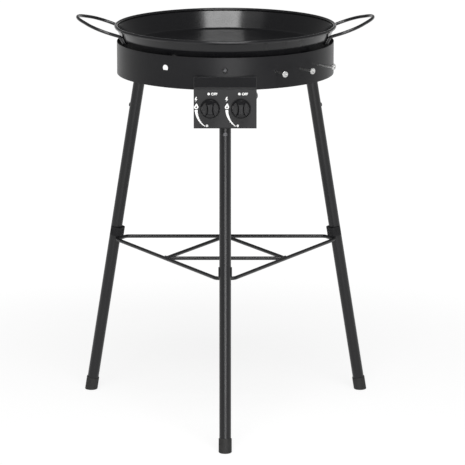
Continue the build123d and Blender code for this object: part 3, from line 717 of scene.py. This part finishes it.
paper = bpy.data.materials.new("floor_paper")
paper.use_nodes = True
tree = paper.node_tree
tree.nodes.clear()
lit = tree.nodes.new("ShaderNodeBsdfDiffuse")
lit.inputs["Color"].default_value = (PAPER_GREY, PAPER_GREY, PAPER_GREY, 1)
coat = tree.nodes.new("ShaderNodeBsdfDiffuse")
coat.inputs["Color"].default_value = (COAT_GREY, COAT_GREY, COAT_GREY, 1)
place = tree.nodes.new("ShaderNodeTexCoord")
distance = tree.nodes.new("ShaderNodeVectorMath")
distance.operation = "LENGTH"
glow = tree.nodes.new("ShaderNodeEmission")
over = tree.nodes.new("ShaderNodeAddShader")
mix = tree.nodes.new("ShaderNodeMixShader")
out = tree.nodes.new("ShaderNodeOutputMaterial")
strength = eased(tree, distance.outputs["Value"], GLOW_START, GLOW_END, NEAR_GLOW, FAR_GLOW)
for start, end in (
    (place.outputs["Object"], distance.inputs[0]),
    (strength, glow.inputs["Strength"]),
    (glow.outputs[0], over.inputs[0]),
    (coat.outputs[0], over.inputs[1]),
    (seen_rays(tree), mix.inputs["Fac"]),
    (lit.outputs[0], mix.inputs[1]),
    (over.outputs[0], mix.inputs[2]),
    (mix.outputs[0], out.inputs["Surface"]),
):
    tree.links.new(start, end)
mesh.materials.append(paper)
print("floor is", 2 * FLOOR_HALF, "m across")

# %% [markdown]
# ## Light
# Black paint shows little but what it mirrors, so each lamp hangs where a surface mirrors it to the camera.
# The key softbox makes the bright upright band on the pan's far wall, a higher one carries that band on
# across the pan's floor, and a dim one beside them gives it a soft right edge. Two at the front, one of them
# near the floor, draw the sheen on the drum and the streaks on the legs. All are kept small, so that the
# light on the object stays near a plain level. A lamp behind would draw a bright line in the pan's inner
# corner, which the photograph doesn't have.

# %% Light
PAN_MIDDLE = Vector((0, 0, 0.85))
STAND_MIDDLE = Vector((0, -0.1, 0.45))


def softbox(name, aim, azimuth, elevation, distance, width, height, radiance):
    """An area lamp that faces aim. Azimuth goes to the right of the front. A mirror shows the radiance."""
    lamp = bpy.data.lights.new(name, "AREA")
    lamp.shape = "RECTANGLE"
    lamp.size, lamp.size_y = width, height
    lamp.energy = pi * width * height * radiance
    turn, rise = radians(azimuth), radians(elevation)
    away = Vector((sin(turn) * cos(rise), -cos(turn) * cos(rise), sin(rise)))
    obj = bpy.data.objects.new(name, lamp)
    obj.location = aim + away * distance
    obj.rotation_euler = away.to_track_quat("Z", "Y").to_euler()
    obj.visible_camera = False
    bpy.context.scene.collection.objects.link(obj)
    print(name, "at", rounded(obj.location, 2), "gives", round(lamp.energy, 1), "W")


softbox(
    "key_softbox", PAN_MIDDLE, azimuth=5, elevation=47.5, distance=2.6,
    width=1.6, height=0.6, radiance=12.4,
)
softbox(
    "top_softbox", PAN_MIDDLE, azimuth=5, elevation=65, distance=2.6,
    width=1.6, height=0.44, radiance=10.0,
)
softbox(
    "shoulder_softbox", PAN_MIDDLE, azimuth=-32, elevation=50, distance=2.6,
    width=1.4, height=0.75, radiance=1.1,
)
softbox(
    "front_softbox", STAND_MIDDLE, azimuth=6, elevation=8.6, distance=4.0,
    width=2.5, height=0.8, radiance=8.0,
)
softbox(
    "low_softbox", STAND_MIDDLE, azimuth=6, elevation=-3.2, distance=4.0,
    width=1.6, height=0.44, radiance=10.0,
)

# %% [markdown]
# ## Room
# The back is lit by the pale floor and by the room, a dark grey that black enamel mirrors all round.
# Up to a few degrees above the horizon the room shows white, so that a low view has no dark edge behind
# the floor. That band is only for the rays that show it, so a matt surface gets no light from it.

# %% Room
ROOM_GREY = 0.24
HORIZON_WHITE = 1.0
# Heights on a sphere of radius 1
BAND_START, BAND_END = 0.06, 0.1

world = bpy.data.worlds.new("dark_studio")
bpy.context.scene.world = world
world.use_nodes = True
tree = world.node_tree
way = tree.nodes.new("ShaderNodeTexCoord")
parts = tree.nodes.new("ShaderNodeSeparateXYZ")
shown = tree.nodes.new("ShaderNodeMix")
shown.inputs["A"].default_value = ROOM_GREY
band = eased(tree, parts.outputs["Z"], BAND_START, BAND_END, HORIZON_WHITE, ROOM_GREY)
for start, end in (
    (way.outputs["Generated"], parts.inputs[0]),
    (seen_rays(tree), shown.inputs["Factor"]),
    (band, shown.inputs["B"]),
    (shown.outputs["Result"], tree.nodes["Background"].inputs["Color"]),
):
    tree.links.new(start, end)
print("room is", ROOM_GREY, "grey")

# %% [markdown]
# ## Camera
# The photograph was taken with a long lens from above the pan, some seven metres away.
# Place, tilt and lens come from fitting the pan's ellipse, the legs and the brace to that picture.

# %% Camera
CAMERA_PLACE = (0.01552, -7.44125, 2.01558)
CAMERA_TILT = 0.2136
LENS_PIXELS, IMAGE_PIXELS = 3461.7, 465
SENSOR_WIDTH = 36
SIGHT = 1000

camera = bpy.data.objects.new("camera", bpy.data.cameras.new("camera"))
camera.location = CAMERA_PLACE
camera.rotation_euler = (pi / 2 - CAMERA_TILT, 0, 0)
camera.data.sensor_width = SENSOR_WIDTH
camera.data.lens = LENS_PIXELS / IMAGE_PIXELS * SENSOR_WIDTH
camera.data.clip_end = SIGHT
bpy.context.scene.collection.objects.link(camera)
bpy.context.scene.camera = camera
bpy.context.scene.view_settings.view_transform = "Standard"
print("lens", round(camera.data.lens, 1), "mm")
